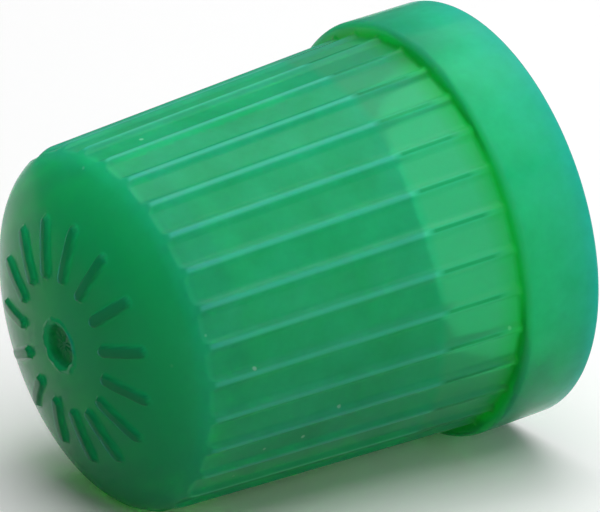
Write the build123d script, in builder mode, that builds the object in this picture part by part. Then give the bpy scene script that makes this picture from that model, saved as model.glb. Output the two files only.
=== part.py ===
"""Tyre valve cap: one moulded piece with a domed end, a ribbed skirt and a smooth collar round the mouth.

Millimetres. The mouth lies in the plane z = 0, the axis is Z and the dome points up.
"""
import os
from math import radians, sqrt, tan

from build123d import *

# The valve stem's thread, and the bore that takes it
stem_thread_d = 7.7
thread_depth = 0.4
thread_length = 4.35

# The wider lead-in at the mouth, which narrows to the thread in a cone of 45 degrees
lead_clearance = 0.45
mouth_chamfer = 0.25

# The walls, and the cap's height from mouth to dome
skirt_wall = 0.9
crown_wall = 3.3
height = 12.8

# The collar round the mouth
collar_lip = 0.3
collar_height = 2.22
collar_draft = 0.8
shoulder_round = 0.18
rim_round = 0.11

# The skirt's half taper, and the dome with its rounded edge
skirt_taper = 2.3
crown_r = 9.1
dome_round = 0.8

# The round ribs with their narrow flat crests, which stand on the corners of a many-sided skirt
rib_count = 30
rib_height = 0.12
rib_r = 0.17
rib_crest = 0.08

# The marks on the dome: the moulding gate's hollow with its raised lip, and a ring of plain raised bars
gate_d = 1.2
gate_depth = 0.18
gate_lip = 0.15
gate_lip_height = 0.04
bar_count = 15
bar_width = 0.3
bar_height = 0.12
bar_ring_d = 5.0
bar_length = 1.5

# Radii and levels that follow
bore_r = stem_thread_d / 2 - thread_depth
lead_r = stem_thread_d / 2 + lead_clearance
skirt_r = lead_r + skirt_wall
collar_r = skirt_r + collar_lip
bore_top = height - crown_wall
lead_cone = lead_r - bore_r
lead_top = bore_top - thread_length - lead_cone
crown_centre = height - crown_r
skirt_foot = collar_height / 2
rib_centre = sqrt(rib_r**2 - (rib_crest / 2) ** 2)
UPWARD = (Align.CENTER, Align.CENTER, Align.MIN)


def skirt_radius(z):
    """Radius over the ribs at a level."""
    return skirt_r - (z - collar_height) * tan(radians(skirt_taper))


def skirt_section(level):
    """Section of the skirt at a level: flat sides, with a round rib on each corner."""
    with BuildSketch(Plane.XY.offset(level)) as section:
        RegularPolygon(skirt_radius(level) - rib_height, rib_count, major_radius=False)
        with PolarLocations(skirt_radius(level) - rib_centre, rib_count):
            Circle(rib_r)
    return section.sketch


# The ribbed skirt, from inside the collar up to the dome's pole
with BuildPart() as ribbed_skirt:
    loft([skirt_section(skirt_foot), skirt_section(height)], ruled=True)

# The collar, slightly narrower at the mouth, with both outer edges rounded
with BuildPart() as collar:
    Cone(collar_r - collar_height * tan(radians(collar_draft)), collar_r, collar_height, align=UPWARD)
    fillet(collar.edges().sort_by(Axis.Z)[-1], shoulder_round)
    fillet(collar.edges().sort_by(Axis.Z)[0], rim_round)

# The raised bars, cut from a shell that lies on the dome
with BuildPart() as bars:
    with BuildSketch(Plane.XY.offset(bore_top)):
        with PolarLocations(bar_ring_d / 2, bar_count):
            SlotOverall(bar_length, bar_width)
    extrude(amount=crown_wall + bar_height)
    with Locations((0, 0, crown_centre)):
        Sphere(crown_r + bar_height, mode=Mode.INTERSECT)

with BuildPart() as valve_cap:
    # The tapered skirt, from inside the collar, closed by the dome
    with Locations((0, 0, skirt_foot)):
        Cone(skirt_radius(skirt_foot), skirt_radius(height), height - skirt_foot, align=UPWARD)
    with Locations((0, 0, crown_centre)):
        Sphere(crown_r, mode=Mode.INTERSECT)
    cone = valve_cap.faces().filter_by(GeomType.CONE)[0]
    fillet(cone.edges().sort_by(Axis.Z)[-1], dome_round)

    # The ribs and flats, which run out in the dome's rounded edge and end at the collar
    add(ribbed_skirt.part, mode=Mode.INTERSECT)
    add(collar.part)

    # The dome's marks
    add(bars.part)
    with Locations((0, 0, height - gate_depth)):
        Cylinder(gate_d / 2 + gate_lip, gate_depth + gate_lip_height, align=UPWARD)
        Cylinder(gate_d / 2, gate_depth + gate_lip_height, align=UPWARD, mode=Mode.SUBTRACT)

    # The bore, the lead-in open at the mouth, and the cone between them
    Cylinder(bore_r, bore_top, align=UPWARD, mode=Mode.SUBTRACT)
    Cylinder(lead_r, lead_top, align=UPWARD, mode=Mode.SUBTRACT)
    with Locations((0, 0, lead_top)):
        Cone(lead_r, bore_r, lead_cone, align=UPWARD, mode=Mode.SUBTRACT)
    mouth_edge = valve_cap.faces().sort_by(Axis.Z)[0].edges().sort_by(SortBy.RADIUS)[0]
    chamfer(mouth_edge, mouth_chamfer)

valve_cap.part.label = "valve_cap"
os.makedirs("parts", exist_ok=True)
export_step(valve_cap.part, "parts/valve_cap.step")
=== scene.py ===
"""Dresses the tyre valve cap: one moulded mesh with rounded edges and a cut thread, in translucent plastic.

Metres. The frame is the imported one: the mouth lies in z = 0, the axis is Z and the dome points up.
The cap lies on its side in the picture, so the floor leans against the collar and the dome's edge.
"""

from math import cos, pi, radians, sin, sqrt, tan

import bpy
import numpy as np
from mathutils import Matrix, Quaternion, Vector, noise


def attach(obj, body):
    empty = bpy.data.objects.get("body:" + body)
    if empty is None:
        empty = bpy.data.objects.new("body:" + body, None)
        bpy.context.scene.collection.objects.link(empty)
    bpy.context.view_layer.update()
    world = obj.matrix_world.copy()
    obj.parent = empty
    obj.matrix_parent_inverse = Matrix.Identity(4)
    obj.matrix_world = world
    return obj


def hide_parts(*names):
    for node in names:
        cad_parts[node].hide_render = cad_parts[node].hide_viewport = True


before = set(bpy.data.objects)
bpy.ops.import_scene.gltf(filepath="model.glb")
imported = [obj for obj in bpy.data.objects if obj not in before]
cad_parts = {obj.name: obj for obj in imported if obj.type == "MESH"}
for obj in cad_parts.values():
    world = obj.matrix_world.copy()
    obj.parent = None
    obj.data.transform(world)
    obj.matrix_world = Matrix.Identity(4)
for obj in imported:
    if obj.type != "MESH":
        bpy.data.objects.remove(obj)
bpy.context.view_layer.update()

MM = 0.001

# The cap's outside, as in the solids
HEIGHT = 12.8 * MM
COLLAR_R = 5.5 * MM
COLLAR_HEIGHT = 2.22 * MM
COLLAR_DRAFT = radians(0.8)
SHOULDER_ROUND = 0.18 * MM
RIM_ROUND = 0.11 * MM
SKIRT_R = 5.2 * MM
SKIRT_TAPER = radians(2.3)
CROWN_R = 9.1 * MM
DOME_ROUND = 0.8 * MM
CROWN_CENTRE = HEIGHT - CROWN_R
MIDDLE = Vector((0, 0, HEIGHT / 2))

# The round ribs between the skirt's flat sides, with the small roundings that the mould leaves on them
RIB_COUNT = 30
RIB_HEIGHT = 0.12 * MM
RIB_R = 0.17 * MM
RIB_CREST = 0.08 * MM
RIB_CENTRE = sqrt(RIB_R**2 - (RIB_CREST / 2) ** 2)
CREST_ROUND = 0.03 * MM
FOOT_ROUND = 0.03 * MM
SHOULDER_FILLET = 0.1 * MM

# The gate's hollow in the dome, and how ragged its edge, lip and floor are
GATE_R = 0.6 * MM
GATE_DEPTH = 0.18 * MM
GATE_LIP = 0.15 * MM
GATE_LIP_HEIGHT = 0.04 * MM
GATE_REACH = GATE_R + 2 * GATE_LIP
INNERMOST_R = 0.1 * GATE_R
GATE_GRAIN = 4.0
RAGGED_EDGE = 0.25
RAGGED_LIP = 0.8
RAGGED_FLOOR = 0.15

# The raised bars on the dome
BAR_COUNT = 15
BAR_WIDTH = 0.3 * MM
BAR_LENGTH = 1.5 * MM
BAR_HEIGHT = 0.12 * MM
BAR_RING_R = 2.5 * MM
BAR_EDGE = 0.04 * MM

# The inside
MOUTH_CHAMFER = 0.25 * MM
LEAD_R = 4.3 * MM
LEAD_TOP = 4.3 * MM
BORE_R = 3.45 * MM
BORE_TOP = 9.5 * MM
BORE_ROUND = 0.3 * MM

# The thread: the groove takes a share of the pitch, and its flanks are this steep
THREAD_FOOT = LEAD_TOP + LEAD_R - BORE_R
THREAD_PITCH = 0.794 * MM
THREAD_DEPTH = 0.4 * MM
THREAD_FADE = 0.5 * MM
GROOVE_SHARE = 0.5
GROOVE_STEEPNESS = 2.5

# Vertices in a ring: most on the ribs, fewer on the plain collar, fewest inside
FINE = 20 * RIB_COUNT
MEDIUM = FINE // 2
COARSE = FINE // 4
RIB_CROWDING = 0.7

# How many rings each stretch of the surface has
GATE_RINGS = 30
PLAIN_RINGS = 8
BAR_RINGS = 44
DOME_EDGE_RINGS = 10
CORNER_RINGS = 28
SKIRT_RINGS = 16
FILLET_RINGS = 5
SHOULDER_RINGS = 10
COLLAR_RINGS = 6
RIM_RINGS = 8
LEAD_RINGS = 8
CONE_RINGS = 6
THREAD_RINGS = 80
BORE_END_RINGS = 6
BORE_END_SHARES = (0.75, 0.5, 0.25, 0.05)

# The camera: where it looks from, and how large the collar's radius shows in the 600 pixel wide picture
IMAGE_WIDTH = 600
IMAGE_HEIGHT = 512
VIEW_AZIMUTH = radians(134.85)
VIEW_TILT = radians(29.5)
VIEW_ROLL = radians(-108.5)
VIEW_DISTANCE = 460 * MM
COLLAR_R_PIXELS = 217.4
PIXELS_PER_METRE = COLLAR_R_PIXELS / COLLAR_R
AIM_HEIGHT = 1.1 * COLLAR_R
AIM_X = 280.4
AIM_Y = 272.1
SENSOR_WIDTH = 36.0

# The plastic's colours, most of them painted light and shade, and where on the cap they show
BODY_DARK = (0.027, 0.59, 0.31, 1)
BODY_LIGHT = (0.041, 0.73, 0.42, 1)
# Painted highlight: a pale teal line along the middle of the rib crests
CREST_HIGHLIGHT_COLOUR = (0.12, 0.92, 0.72, 1)
CREST_HIGHLIGHT_SHARE = 0.8
CREST_WIDTH = 0.05 * MM
CREST_FROM = 0.4 * RIB_HEIGHT
CREST_FULL = 0.8 * RIB_HEIGHT
# Painted light: a paler, milkier colour over the lead-in, where light comes through the thin wall
THIN_WALL_LIGHT_COLOUR = (0.075, 0.61, 0.35, 1)
# Painted shade: the ribs over the thin wall darker than the paler wall between them
THIN_RIB_SHADE_COLOUR = (0.02, 0.42, 0.20, 1)
THIN_EDGE = 0.3 * MM
# Painted shade: the dome a darker, less blue green
DOME_SHADE_COLOUR = (0.014, 0.59, 0.22, 1)
# Painted shade: the dome's bars and the gate's hollow darker
MARK_SHADE_COLOUR = (0.008, 0.28, 0.10, 1)
MARK_SHADE = 0.8
MARK_FROM = 0.1 * BAR_HEIGHT
MARK_FULL = 0.7 * BAR_HEIGHT
# Painted shade: a deeper, yellower green in the corner at the collar's shoulder
CREVICE_SHADE_COLOUR = (0.035, 0.60, 0.12, 1)
CREVICE_REACH = 0.35 * MM

# The cloudy tint, the surface's fine grain and the pale specks. Scales are in features per metre
CLOUD_SCALE = 700.0
CLOUD_DETAIL = 4.0
CLOUD_DARK_TO = 0.3
CLOUD_LIGHT_FROM = 0.7
GRAIN_SCALE = 9000.0
GRAIN_DETAIL = 3.0
GRAIN_STRENGTH = 0.12
GRAIN_DEPTH = 0.02 * MM
NOISE_ROUGHNESS = 0.6
SPECK_COLOUR = (0.38, 0.93, 0.76, 1)
SPECK_GRID = 1100.0
SPECK_SIZE = 0.08
SPECK_SHARE = 0.4

# How the plastic lets light through, scatters it and shines
CLARITY = 0.57
RIM_CLARITY = 0.27
DOME_CLARITY = 0.1
REFRACTION = 1.2
ROUGH_LEAST = 0.18
ROUGH_MOST = 0.21
GLOSS_TINT = (0.7, 0.9, 1.0, 1)
GLOSS_LEVEL = 0.25
SCATTER_SHARE = 0.8
SCATTER_DEPTH = 5 * MM
SCATTER_COLOUR = (0.06, 1.0, 0.8)
DEEP_COLOUR = (0.0, 0.985, 0.30, 1)
DEEP_DENSITY = 1160.0

# The floor, and how pale it is to the eye and for the light that it throws back
FLOOR_HALF = 60 * MM
FLOOR_SEEN = 0.98
FLOOR_BOUNCE = 0.2

# The surroundings, and the lamps: key from above, fill from behind, side from the right
WORLD_LIGHT = 0.13
KEY_DISTANCE = 200 * MM
KEY_SIZE = 240 * MM
KEY_POWER = 0.345
KEY_ASIDE = 0.25
KEY_FORWARD = 0.12
FILL_DISTANCE = 120 * MM
FILL_SIZE = 120 * MM
FILL_POWER = 0.06
FILL_RISE = 0.8
FILL_FORWARD = -0.35
SIDE_DISTANCE = 120 * MM
SIDE_SIZE = 120 * MM
SIDE_POWER = 0.06
SIDE_RISE = 0.15
SIDE_FORWARD = 0.9


def smooth_step(x, low, high):
    """0 below low and 1 above high, with a soft passage."""
    t = np.clip((x - low) / (high - low), 0, 1)
    return t * t * (3 - 2 * t)


def smooth_min(a, b, width):
    """The smaller of two surfaces, with their edge rounded over a width."""
    t = np.clip(0.5 + 0.5 * (b - a) / width, 0, 1)
    return b * (1 - t) + a * t - width * t * (1 - t)


def from_nearest(angles, count):
    """Angles from the nearest of some equal steps round the axis, the first of which is at +X."""
    pitch = 2 * pi / count
    return (angles + pitch / 2) % pitch - pitch / 2


def ring_angles(count):
    """Angles all round that crowd together on the ribs. A coarser ring uses each second or fourth of them."""
    per_rib = FINE // RIB_COUNT
    across = np.arange(per_rib) * 2 / per_rib - 1
    local = (across + RIB_CROWDING * np.sin(pi * across) / pi) * pi / RIB_COUNT
    middles = (np.arange(RIB_COUNT) + 0.5) * 2 * pi / RIB_COUNT
    return (middles[:, None] + local).ravel()[:: FINE // count]


def ring(angles, radius, level):
    """One ring of vertices."""
    radius = radius + 0 * angles
    return np.stack([radius * np.cos(angles), radius * np.sin(angles), level + 0 * angles], 1)


def arc(centre_r, centre_z, radius, start, end, count):
    """Points of a rounding, with angles counted from the axis."""
    for turn in np.linspace(start, end, count):
        yield centre_r + radius * sin(turn), centre_z + radius * cos(turn)


def skirt_radius(level):
    """Radius over the ribs."""
    return SKIRT_R - (level - COLLAR_HEIGHT) * tan(SKIRT_TAPER)


def ribbed_radius(angles, level):
    """Radius of the skirt's flat sides and the round ribs between them."""
    from_rib = np.abs(from_nearest(angles, RIB_COUNT))
    flat = (skirt_radius(level) - RIB_HEIGHT) / np.cos(pi / RIB_COUNT - from_rib)
    centre_r = skirt_radius(level) - RIB_CENTRE
    across = centre_r * np.sin(from_rib)
    rib = centre_r * np.cos(from_rib) + np.sqrt(np.maximum(RIB_R**2 - across**2, 0))
    return -smooth_min(-flat, -rib, FOOT_ROUND)


def ribbed(angles, radius, level):
    """A turned radius with the ribs and flat sides cut in it."""
    return smooth_min(radius, ribbed_radius(angles, level), CREST_ROUND)


def dome_corner():
    """Centre of the dome's rounded edge, and the angles from the axis where it meets crown and skirt."""
    outward = np.array([cos(SKIRT_TAPER), sin(SKIRT_TAPER)])
    upward = np.array([-sin(SKIRT_TAPER), cos(SKIRT_TAPER)])
    start = np.array([SKIRT_R, COLLAR_HEIGHT]) - DOME_ROUND * outward
    from_crown = start - np.array([0, CROWN_CENTRE])
    along = from_crown @ upward
    reach = from_crown @ from_crown - (CROWN_R - DOME_ROUND) ** 2
    centre = start + (sqrt(along**2 - reach) - along) * upward
    return centre, np.arctan2(centre[0], centre[1] - CROWN_CENTRE), pi / 2 - SKIRT_TAPER


def raggedness(angles, radius):
    """Uneven height between -1 and 1 round the gate."""
    return np.array([noise.noise(Vector((cos(a), sin(a), radius / GATE_R)) * GATE_GRAIN) for a in angles])


def gate_rise(angles, radius):
    """How far the gate's ragged lip stands up from the dome, less how far its hollow sinks in."""
    ragged = raggedness(angles, radius)
    edge = GATE_R + RAGGED_EDGE * GATE_LIP * ragged
    across = (radius - edge - GATE_LIP / 2) / (GATE_LIP / 2)
    lip = GATE_LIP_HEIGHT * (1 + RAGGED_LIP * ragged) * np.clip(1 - across**2, 0, 1)
    hollow = GATE_DEPTH * (1 - smooth_step(radius, edge - GATE_LIP, edge)) * (1 + RAGGED_FLOOR * ragged)
    return lip - hollow


def bar_rise(angles, radius):
    """How far the bars stand up from the dome."""
    local = from_nearest(angles, BAR_COUNT)
    out = np.abs(radius * np.cos(local) - BAR_RING_R) - (BAR_LENGTH - BAR_WIDTH) / 2
    distance = np.hypot(np.maximum(out, 0), radius * np.sin(local)) - BAR_WIDTH / 2
    return BAR_HEIGHT * (1 - smooth_step(distance, -BAR_EDGE, BAR_EDGE))


def dome_level(angles, radius):
    """Height of the dome, with the gate and the bars."""
    level = CROWN_CENTRE + sqrt(CROWN_R**2 - radius**2) + bar_rise(angles, radius)
    return level + gate_rise(angles, radius) if radius < GATE_REACH else level


def dome_rings(corner_start):
    """From the gate's middle out to the dome's rounded edge."""
    edge_r = CROWN_R * sin(corner_start)
    bars_from = BAR_RING_R - BAR_LENGTH / 2 - 2 * BAR_EDGE
    bars_to = BAR_RING_R + BAR_LENGTH / 2 + 2 * BAR_EDGE
    spans = [
        (MEDIUM, np.linspace(INNERMOST_R, GATE_REACH, GATE_RINGS)),
        (MEDIUM, np.linspace(GATE_REACH, bars_from, PLAIN_RINGS)[1:]),
        (FINE, np.linspace(bars_from, bars_to, BAR_RINGS)[1:]),
        (FINE, np.linspace(bars_to, edge_r, DOME_EDGE_RINGS)[1:-1]),
    ]
    for count, radii in spans:
        angles = ring_angles(count)
        for radius in radii:
            yield ring(angles, radius, dome_level(angles, radius))


def skirt_rings(corner_centre, corner_start, corner_end):
    """The dome's rounded edge, and the ribbed skirt down to the fillet at the collar."""
    angles = ring_angles(FINE)
    for radius, level in arc(*corner_centre, DOME_ROUND, corner_start, corner_end, CORNER_RINGS):
        yield ring(angles, ribbed(angles, radius, level), level)
    skirt_top = corner_centre[1] + DOME_ROUND * cos(corner_end)
    for level in np.linspace(skirt_top, COLLAR_HEIGHT + SHOULDER_FILLET, SKIRT_RINGS)[1:]:
        yield ring(angles, ribbed(angles, skirt_radius(level), level), level)
    foot = ribbed(angles, SKIRT_R, COLLAR_HEIGHT)
    for turn in np.linspace(0, pi / 2, FILLET_RINGS)[1:]:
        out = SHOULDER_FILLET * (1 - cos(turn))
        yield ring(angles, foot + out, COLLAR_HEIGHT + SHOULDER_FILLET * (1 - sin(turn)))


def collar_rings():
    """The collar's shoulder, side and rim, and the mouth as far as its chamfer."""
    angles = ring_angles(MEDIUM)
    mouth_r = COLLAR_R - COLLAR_HEIGHT * tan(COLLAR_DRAFT)
    side_top = COLLAR_HEIGHT - SHOULDER_ROUND
    side_radii = np.linspace(COLLAR_R, mouth_r, COLLAR_RINGS)[1:-1]
    side_levels = np.linspace(side_top, RIM_ROUND, COLLAR_RINGS)[1:-1]
    points = [
        *arc(COLLAR_R - SHOULDER_ROUND, side_top, SHOULDER_ROUND, 0, pi / 2, SHOULDER_RINGS),
        *zip(side_radii, side_levels),
        *arc(mouth_r - RIM_ROUND, RIM_ROUND, RIM_ROUND, pi / 2, pi, RIM_RINGS),
        (LEAD_R + MOUTH_CHAMFER + RIM_ROUND, 0),
        (LEAD_R + MOUTH_CHAMFER, 0),
        (LEAD_R + MOUTH_CHAMFER / 2, MOUTH_CHAMFER / 2),
        (LEAD_R, MOUTH_CHAMFER),
    ]
    for radius, level in points:
        yield ring(angles, radius, level)


def thread_radius(angles, level):
    """The right-hand thread's wall: a groove with flat crests between its turns, which fades at both ends."""
    turn = (level / THREAD_PITCH - angles / (2 * pi)) % 1
    groove = np.clip(GROOVE_STEEPNESS * (GROOVE_SHARE - np.abs(2 * turn - 1)), 0, 1)
    thread_end = BORE_TOP - BORE_ROUND
    starts = smooth_step(level, THREAD_FOOT, THREAD_FOOT + THREAD_FADE)
    stops = smooth_step(level, thread_end - THREAD_FADE, thread_end)
    return BORE_R + THREAD_DEPTH * groove * starts * (1 - stops)


def inner_rings():
    """The lead-in, the cone above it, the threaded bore and its closed end."""
    angles = ring_angles(COARSE)
    for level in np.linspace(2 * MOUTH_CHAMFER, LEAD_TOP - RIM_ROUND, LEAD_RINGS):
        yield ring(angles, LEAD_R, level)
    for radius in np.linspace(LEAD_R - RIM_ROUND, BORE_R + RIM_ROUND, CONE_RINGS):
        yield ring(angles, radius, LEAD_TOP + LEAD_R - radius)
    for level in np.linspace(THREAD_FOOT + RIM_ROUND, BORE_TOP - BORE_ROUND, THREAD_RINGS):
        yield ring(angles, thread_radius(angles, level), level)
    for turn in np.linspace(pi / 2, 0, BORE_END_RINGS)[1:]:
        yield ring(angles, BORE_R - BORE_ROUND * (1 - sin(turn)), BORE_TOP - BORE_ROUND * (1 - cos(turn)))
    for share in BORE_END_SHARES:
        yield ring(angles, BORE_R * share, BORE_TOP)


def band(a, b, n, m):
    """Faces between a ring of n vertices that starts at number a, and one of m that starts at b."""
    few = min(n, m)
    j = np.arange(few)
    k = (j + 1) % few
    if n == m:
        return np.stack([a + j, b + j, b + k, a + k], 1).tolist()
    many, single = (a, b) if n > m else (b, a)
    between = many + 2 * j + 1
    fans = [
        (single + j, many + 2 * j, between),
        (single + j, between, single + k),
        (single + k, between, many + 2 * k),
    ]
    return [face for fan in fans for face in np.stack(fan[::-1] if n > m else fan, 1).tolist()]


def skin(rings):
    """Vertices and faces of a closed skin over the rings. Neighbours may differ by a factor of two."""
    starts = np.cumsum([0] + [len(r) for r in rings])
    faces = []
    for i, (upper, lower) in enumerate(zip(rings[:-1], rings[1:])):
        faces += band(starts[i], starts[i + 1], len(upper), len(lower))
    faces.append(list(range(len(rings[0]))))
    faces.append(list(range(starts[-2], starts[-1]))[::-1])
    return np.concatenate(rings), faces


def crest_highlight_share(vertices):
    """Where the painted highlight goes: 1 along the middle of the ribs' crests, and 0 away from them."""
    x, y, level = vertices.T
    radius = np.hypot(x, y)
    aside = radius * np.abs(from_nearest(np.arctan2(y, x), RIB_COUNT))
    proud = radius - skirt_radius(level) + RIB_HEIGHT
    on_rib = smooth_step(proud, CREST_FROM, CREST_FULL) * (level > COLLAR_HEIGHT + SHOULDER_FILLET)
    return on_rib * (1 - smooth_step(aside, CREST_WIDTH / 2, 2 * CREST_WIDTH))


def crevice_shade_share(vertices):
    """Where painted shade goes: 1 in the corner between the skirt and the collar's shoulder, and 0 away from
    it.
    """
    x, y, level = vertices.T
    away = np.hypot(np.hypot(x, y) - SKIRT_R, level - COLLAR_HEIGHT)
    return 1 - smooth_step(away, 0, CREVICE_REACH)


def mark_shade_share(vertices):
    """Where painted shade goes: 1 where the dome's bars stand up and the gate sinks in, and 0 on the plain
    dome and elsewhere.
    """
    x, y, level = vertices.T
    radius = np.hypot(x, y)
    plain = CROWN_CENTRE + np.sqrt(np.maximum(CROWN_R**2 - radius**2, 0))
    on_dome = (level > BORE_TOP + BORE_ROUND) & (radius < BAR_RING_R + BAR_LENGTH)
    return smooth_step(np.abs(level - plain), MARK_FROM, MARK_FULL) * on_dome


def moulded_cap():
    """The whole cap as one closed mesh, with the shares that its material reads."""
    corner = dome_corner()
    rings = [*dome_rings(corner[1]), *skirt_rings(*corner), *collar_rings(), *inner_rings()]
    vertices, faces = skin(rings)
    mesh = bpy.data.meshes.new("moulded_cap")
    mesh.from_pydata(vertices.tolist(), [], faces)
    mesh.polygons.foreach_set("use_smooth", [True] * len(mesh.polygons))
    mesh.validate()
    for name, share in (("crest_highlight", crest_highlight_share), ("crevice_shade", crevice_shade_share), ("mark_shade", mark_shade_share)):
        mesh.attributes.new(name, "FLOAT", "POINT").data.foreach_set("value", share(vertices))
    piece = bpy.data.objects.new("moulded_cap", mesh)
    bpy.context.collection.objects.link(piece)
    return piece


class Nodes:
    """Short calls for building a node tree."""

    def __init__(self, tree):
        self.tree = tree
        tree.nodes.clear()

    def add(self, kind, links=(), **values):
        """A node with settings or inputs set by name, and linked inputs given as (input, output socket)."""
        node = self.tree.nodes.new(kind)
        for name, value in values.items():
            label = name.replace("_", " ")
            if label in node.inputs:
                node.inputs[label].default_value = value
            else:
                setattr(node, name, value)
        for name, socket in links:
            self.tree.links.new(socket, node.inputs[name])
        return node

    def math(self, operation, first, second):
        """The result for a socket and a second socket or number."""
        node = self.add("ShaderNodeMath", [(0, first)], operation=operation)
        if isinstance(second, float):
            node.inputs[1].default_value = second
        else:
            self.tree.links.new(second, node.inputs[1])
        return node.outputs[0]

    def span(self, value, low, high, links=(), **ends):
        """A socket's way from low to high, as 0 to 1 or between other ends."""
        links = [("Value", value), *links]
        return self.add("ShaderNodeMapRange", links, From_Min=low, From_Max=high, **ends).outputs["Result"]

    def blend(self, share, first, second):
        """A colour that goes from a socket's to a fixed one."""
        mix = self.add("ShaderNodeMix", [(0, share), (6, first)], data_type="RGBA")
        mix.inputs[7].default_value = second
        return mix.outputs[2]

    def share(self, name):
        """One of the shares that the mesh carries."""
        return self.add("ShaderNodeAttribute", attribute_name=name).outputs["Fac"]


def uneven(nodes, place, scale, detail):
    """A value between 0 and 1 that changes from place to place."""
    shape = {"Scale": scale, "Detail": detail, "Roughness": NOISE_ROUGHNESS}
    return nodes.add("ShaderNodeTexNoise", [("Vector", place)], **shape).outputs["Fac"]


def cloudy_body(nodes, clouds):
    """The plastic's own tint, which varies a little from place to place."""
    tint = nodes.add("ShaderNodeValToRGB", [("Fac", clouds)])
    dark, light = tint.color_ramp.elements
    dark.position, dark.color = CLOUD_DARK_TO, BODY_DARK
    light.position, light.color = CLOUD_LIGHT_FROM, BODY_LIGHT
    return tint.outputs["Color"]


def thin_wall(nodes, level):
    """1 on the skirt over the lead-in, where the wall is thin and a paler colour is painted for the light
    coming through it, and 0 elsewhere.
    """
    above_collar = nodes.span(level, COLLAR_HEIGHT - SHOULDER_ROUND, COLLAR_HEIGHT)
    return nodes.span(level, LEAD_TOP + THIN_EDGE, LEAD_TOP, [("To Max", above_collar)])


def specks(nodes, place):
    """1 in small scattered specks, where the surface is scuffed, and 0 elsewhere."""
    cells = nodes.add("ShaderNodeTexVoronoi", [("Vector", place)], Scale=SPECK_GRID)
    spot = nodes.span(cells.outputs["Distance"], SPECK_SIZE, SPECK_SIZE / 2)
    chance = nodes.add("ShaderNodeSeparateColor", [("Color", cells.outputs["Color"])]).outputs["Red"]
    return nodes.math("MULTIPLY", spot, nodes.math("LESS_THAN", chance, SPECK_SHARE))


def surface_colour(nodes, place, level, clouds, dome):
    """The plastic's own tint with pale specks, and over it painted light: a paler colour where light comes
    through the thin wall, painted highlights on the rib crests, and painted shade on the ribs over the thin
    wall, the dome, the bars and gate, and the shoulder's corner.
    """
    thin = thin_wall(nodes, level)
    crest_highlight = nodes.share("crest_highlight")
    # Painted light through the thin wall
    colour = nodes.blend(thin, cloudy_body(nodes, clouds), THIN_WALL_LIGHT_COLOUR)
    # Painted highlight along the rib crests
    colour = nodes.blend(nodes.math("MULTIPLY", crest_highlight, CREST_HIGHLIGHT_SHARE), colour, CREST_HIGHLIGHT_COLOUR)
    # Painted shade on the ribs over the thin wall
    colour = nodes.blend(nodes.math("MULTIPLY", crest_highlight, thin), colour, THIN_RIB_SHADE_COLOUR)
    colour = nodes.blend(specks(nodes, place), colour, SPECK_COLOUR)
    # Painted shade on the dome
    colour = nodes.blend(dome, colour, DOME_SHADE_COLOUR)
    # Painted shade on the bars and in the gate's hollow
    colour = nodes.blend(nodes.math("MULTIPLY", nodes.share("mark_shade"), MARK_SHADE), colour, MARK_SHADE_COLOUR)
    # Painted shade in the corner at the shoulder
    return nodes.blend(nodes.share("crevice_shade"), colour, CREVICE_SHADE_COLOUR)


def green_plastic():
    """Translucent green plastic: teal where light scatters in it, deep green where light comes through."""
    material = bpy.data.materials.new("green_plastic")
    material.use_nodes = True
    nodes = Nodes(material.node_tree)
    place = nodes.add("ShaderNodeTexCoord").outputs["Object"]
    level = nodes.add("ShaderNodeSeparateXYZ", [("Vector", place)]).outputs["Z"]
    dome = nodes.span(level, HEIGHT - 2 * DOME_ROUND, HEIGHT - DOME_ROUND)
    clouds = uneven(nodes, place, CLOUD_SCALE, CLOUD_DETAIL)
    grain = uneven(nodes, place, GRAIN_SCALE, GRAIN_DETAIL)
    bump = nodes.add("ShaderNodeBump", [("Height", grain)], Strength=GRAIN_STRENGTH, Distance=GRAIN_DEPTH)
    below_dome = nodes.span(level, RIM_ROUND, COLLAR_HEIGHT, To_Min=RIM_CLARITY, To_Max=CLARITY)
    clarity = nodes.span(dome, 0.0, 1.0, [("To Min", below_dome)], To_Max=DOME_CLARITY)
    plastic = nodes.add(
        "ShaderNodeBsdfPrincipled",
        [
            ("Base Color", surface_colour(nodes, place, level, clouds, dome)),
            ("Roughness", nodes.span(clouds, 0.0, 1.0, To_Min=ROUGH_LEAST, To_Max=ROUGH_MOST)),
            ("Normal", bump.outputs["Normal"]),
            ("Transmission Weight", clarity),
        ],
        IOR=REFRACTION,
        Specular_IOR_Level=GLOSS_LEVEL,
        Specular_Tint=GLOSS_TINT,
        Subsurface_Weight=SCATTER_SHARE,
        Subsurface_Scale=SCATTER_DEPTH,
        Subsurface_Radius=SCATTER_COLOUR,
    )
    depth = nodes.add("ShaderNodeVolumeAbsorption", Color=DEEP_COLOUR, Density=DEEP_DENSITY)
    ends = [("Surface", plastic.outputs["BSDF"]), ("Volume", depth.outputs["Volume"])]
    nodes.add("ShaderNodeOutputMaterial", ends)
    return material


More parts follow.
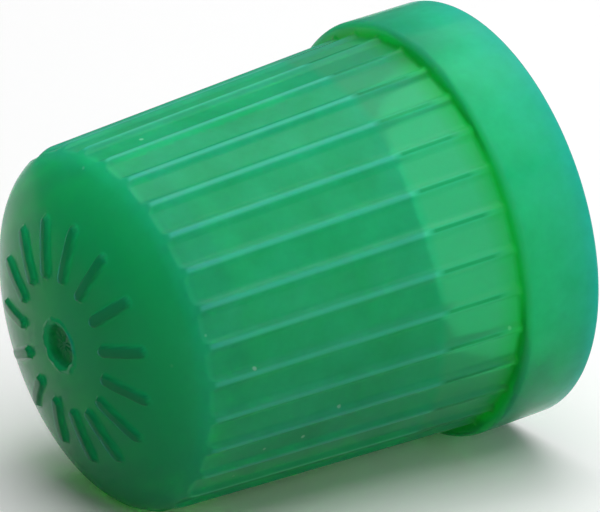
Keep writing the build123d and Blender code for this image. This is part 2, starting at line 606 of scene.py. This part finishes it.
def stage_axes():
    """The camera's turn and back direction, and the floor's up for a cap on its collar and dome's edge."""
    flat_x, flat_y = cos(VIEW_TILT) * cos(VIEW_AZIMUTH), cos(VIEW_TILT) * sin(VIEW_AZIMUTH)
    back = Vector((flat_x, flat_y, sin(VIEW_TILT)))
    turn = back.to_track_quat("Z", "Y") @ Quaternion((0, 0, 1), VIEW_ROLL)
    right = turn @ Vector((1, 0, 0))
    centre, _, _ = dome_corner()
    run = centre[1] - (COLLAR_HEIGHT - SHOULDER_ROUND)
    drop = COLLAR_R - centre[0] - DOME_ROUND
    lean = np.arctan2(drop, run)
    # The floor's normal makes this angle with the axis and stays square to the picture's horizontal
    axis = Vector((0, 0, 1))
    flat = (axis - right * axis.dot(right)).normalized()
    other = right.cross(flat)
    along = -sin(lean) / axis.dot(flat)
    up = flat * along + other * sqrt(1 - along**2)
    if up.dot(turn @ Vector((0, 1, 0))) < 0:
        up = flat * along - other * sqrt(1 - along**2)
    return turn, back, up


def add_camera(turn, back):
    """A long lens from the photograph's direction, with the cap at the photograph's place in the frame."""
    data = bpy.data.cameras.new("camera")
    data.sensor_width = SENSOR_WIDTH
    data.lens = PIXELS_PER_METRE * VIEW_DISTANCE * SENSOR_WIDTH / IMAGE_WIDTH
    data.clip_start = 0.1 * VIEW_DISTANCE
    data.clip_end = 10 * VIEW_DISTANCE
    camera = bpy.data.objects.new("camera", data)
    bpy.context.collection.objects.link(camera)
    across = (IMAGE_WIDTH / 2 - AIM_X) / PIXELS_PER_METRE
    upward = (AIM_Y - IMAGE_HEIGHT / 2) / PIXELS_PER_METRE
    camera.location = Vector((0, 0, AIM_HEIGHT)) + back * VIEW_DISTANCE + turn @ Vector((across, upward, 0))
    camera.rotation_mode = "QUATERNION"
    camera.rotation_quaternion = turn
    bpy.context.scene.camera = camera


def seen_directly(nodes):
    """1 where the camera, a reflection or a look through plastic meets it, and 0 for scattered light."""
    path = nodes.add("ShaderNodeLightPath").outputs
    mirrored = nodes.math("MAXIMUM", path["Is Camera Ray"], path["Is Glossy Ray"])
    return nodes.math("MAXIMUM", mirrored, path["Is Transmission Ray"])


def floor_paper():
    """Pale paper that is clear when seen from below, so that the floor hides no side of the cap."""
    material = bpy.data.materials.new("floor")
    material.use_nodes = True
    nodes = Nodes(material.node_tree)
    below = nodes.add("ShaderNodeNewGeometry").outputs["Backfacing"]
    shade = nodes.span(seen_directly(nodes), 0.0, 1.0, To_Min=FLOOR_BOUNCE, To_Max=FLOOR_SEEN)
    paper = nodes.add("ShaderNodeBsdfDiffuse", [("Color", shade)]).outputs["BSDF"]
    clear = nodes.add("ShaderNodeBsdfTransparent").outputs["BSDF"]
    mixed = nodes.add("ShaderNodeMixShader", [("Fac", below), (1, paper), (2, clear)])
    nodes.add("ShaderNodeOutputMaterial", [("Surface", mixed.outputs["Shader"])])
    return material


def add_floor(piece, right, up, toward):
    """A floor that just touches the cap."""
    lowest = min(vertex.co.dot(up) for vertex in piece.data.vertices)
    centre = MIDDLE + up * (lowest - MIDDLE.dot(up))
    mesh = bpy.data.meshes.new("floor")
    ends = ((-1, -1), (1, -1), (1, 1), (-1, 1))
    corners = [tuple(centre + (right * x - toward * y) * FLOOR_HALF) for x, y in ends]
    mesh.from_pydata(corners, [], [(0, 1, 2, 3)])
    mesh.materials.append(floor_paper())
    floor = bpy.data.objects.new("floor", mesh)
    bpy.context.collection.objects.link(floor)


def add_world():
    """Even, dim surroundings."""
    world = bpy.data.worlds.new("world")
    bpy.context.scene.world = world
    world.use_nodes = True
    nodes = Nodes(world.node_tree)
    sky = nodes.add("ShaderNodeBackground", Strength=WORLD_LIGHT, Color=(1, 1, 1, 1))
    nodes.add("ShaderNodeOutputWorld", [("Surface", sky.outputs["Background"])])


def add_softbox(name, direction, distance, size, power):
    """A square lamp that faces the cap."""
    data = bpy.data.lights.new(name, "AREA")
    data.shape = "SQUARE"
    data.size = size
    data.energy = power
    lamp = bpy.data.objects.new(name, data)
    bpy.context.collection.objects.link(lamp)
    lamp.location = MIDDLE + direction.normalized() * distance
    lamp.rotation_mode = "QUATERNION"
    lamp.rotation_quaternion = direction.to_track_quat("Z", "Y")


cap = moulded_cap()
cap.data.materials.append(green_plastic())
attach(cap, "root")
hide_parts("valve_cap")

turn, back, up = stage_axes()
right = turn @ Vector((1, 0, 0))
toward = right.cross(up)
add_camera(turn, back)
add_floor(cap, right, up, toward)
add_world()
add_softbox("key", up + KEY_ASIDE * right + KEY_FORWARD * toward, KEY_DISTANCE, KEY_SIZE, KEY_POWER)
add_softbox("fill", FILL_RISE * up + FILL_FORWARD * toward, FILL_DISTANCE, FILL_SIZE, FILL_POWER)
add_softbox("side", right + SIDE_RISE * up + SIDE_FORWARD * toward, SIDE_DISTANCE, SIDE_SIZE, SIDE_POWER)

bpy.context.scene.view_settings.view_transform = "Standard"
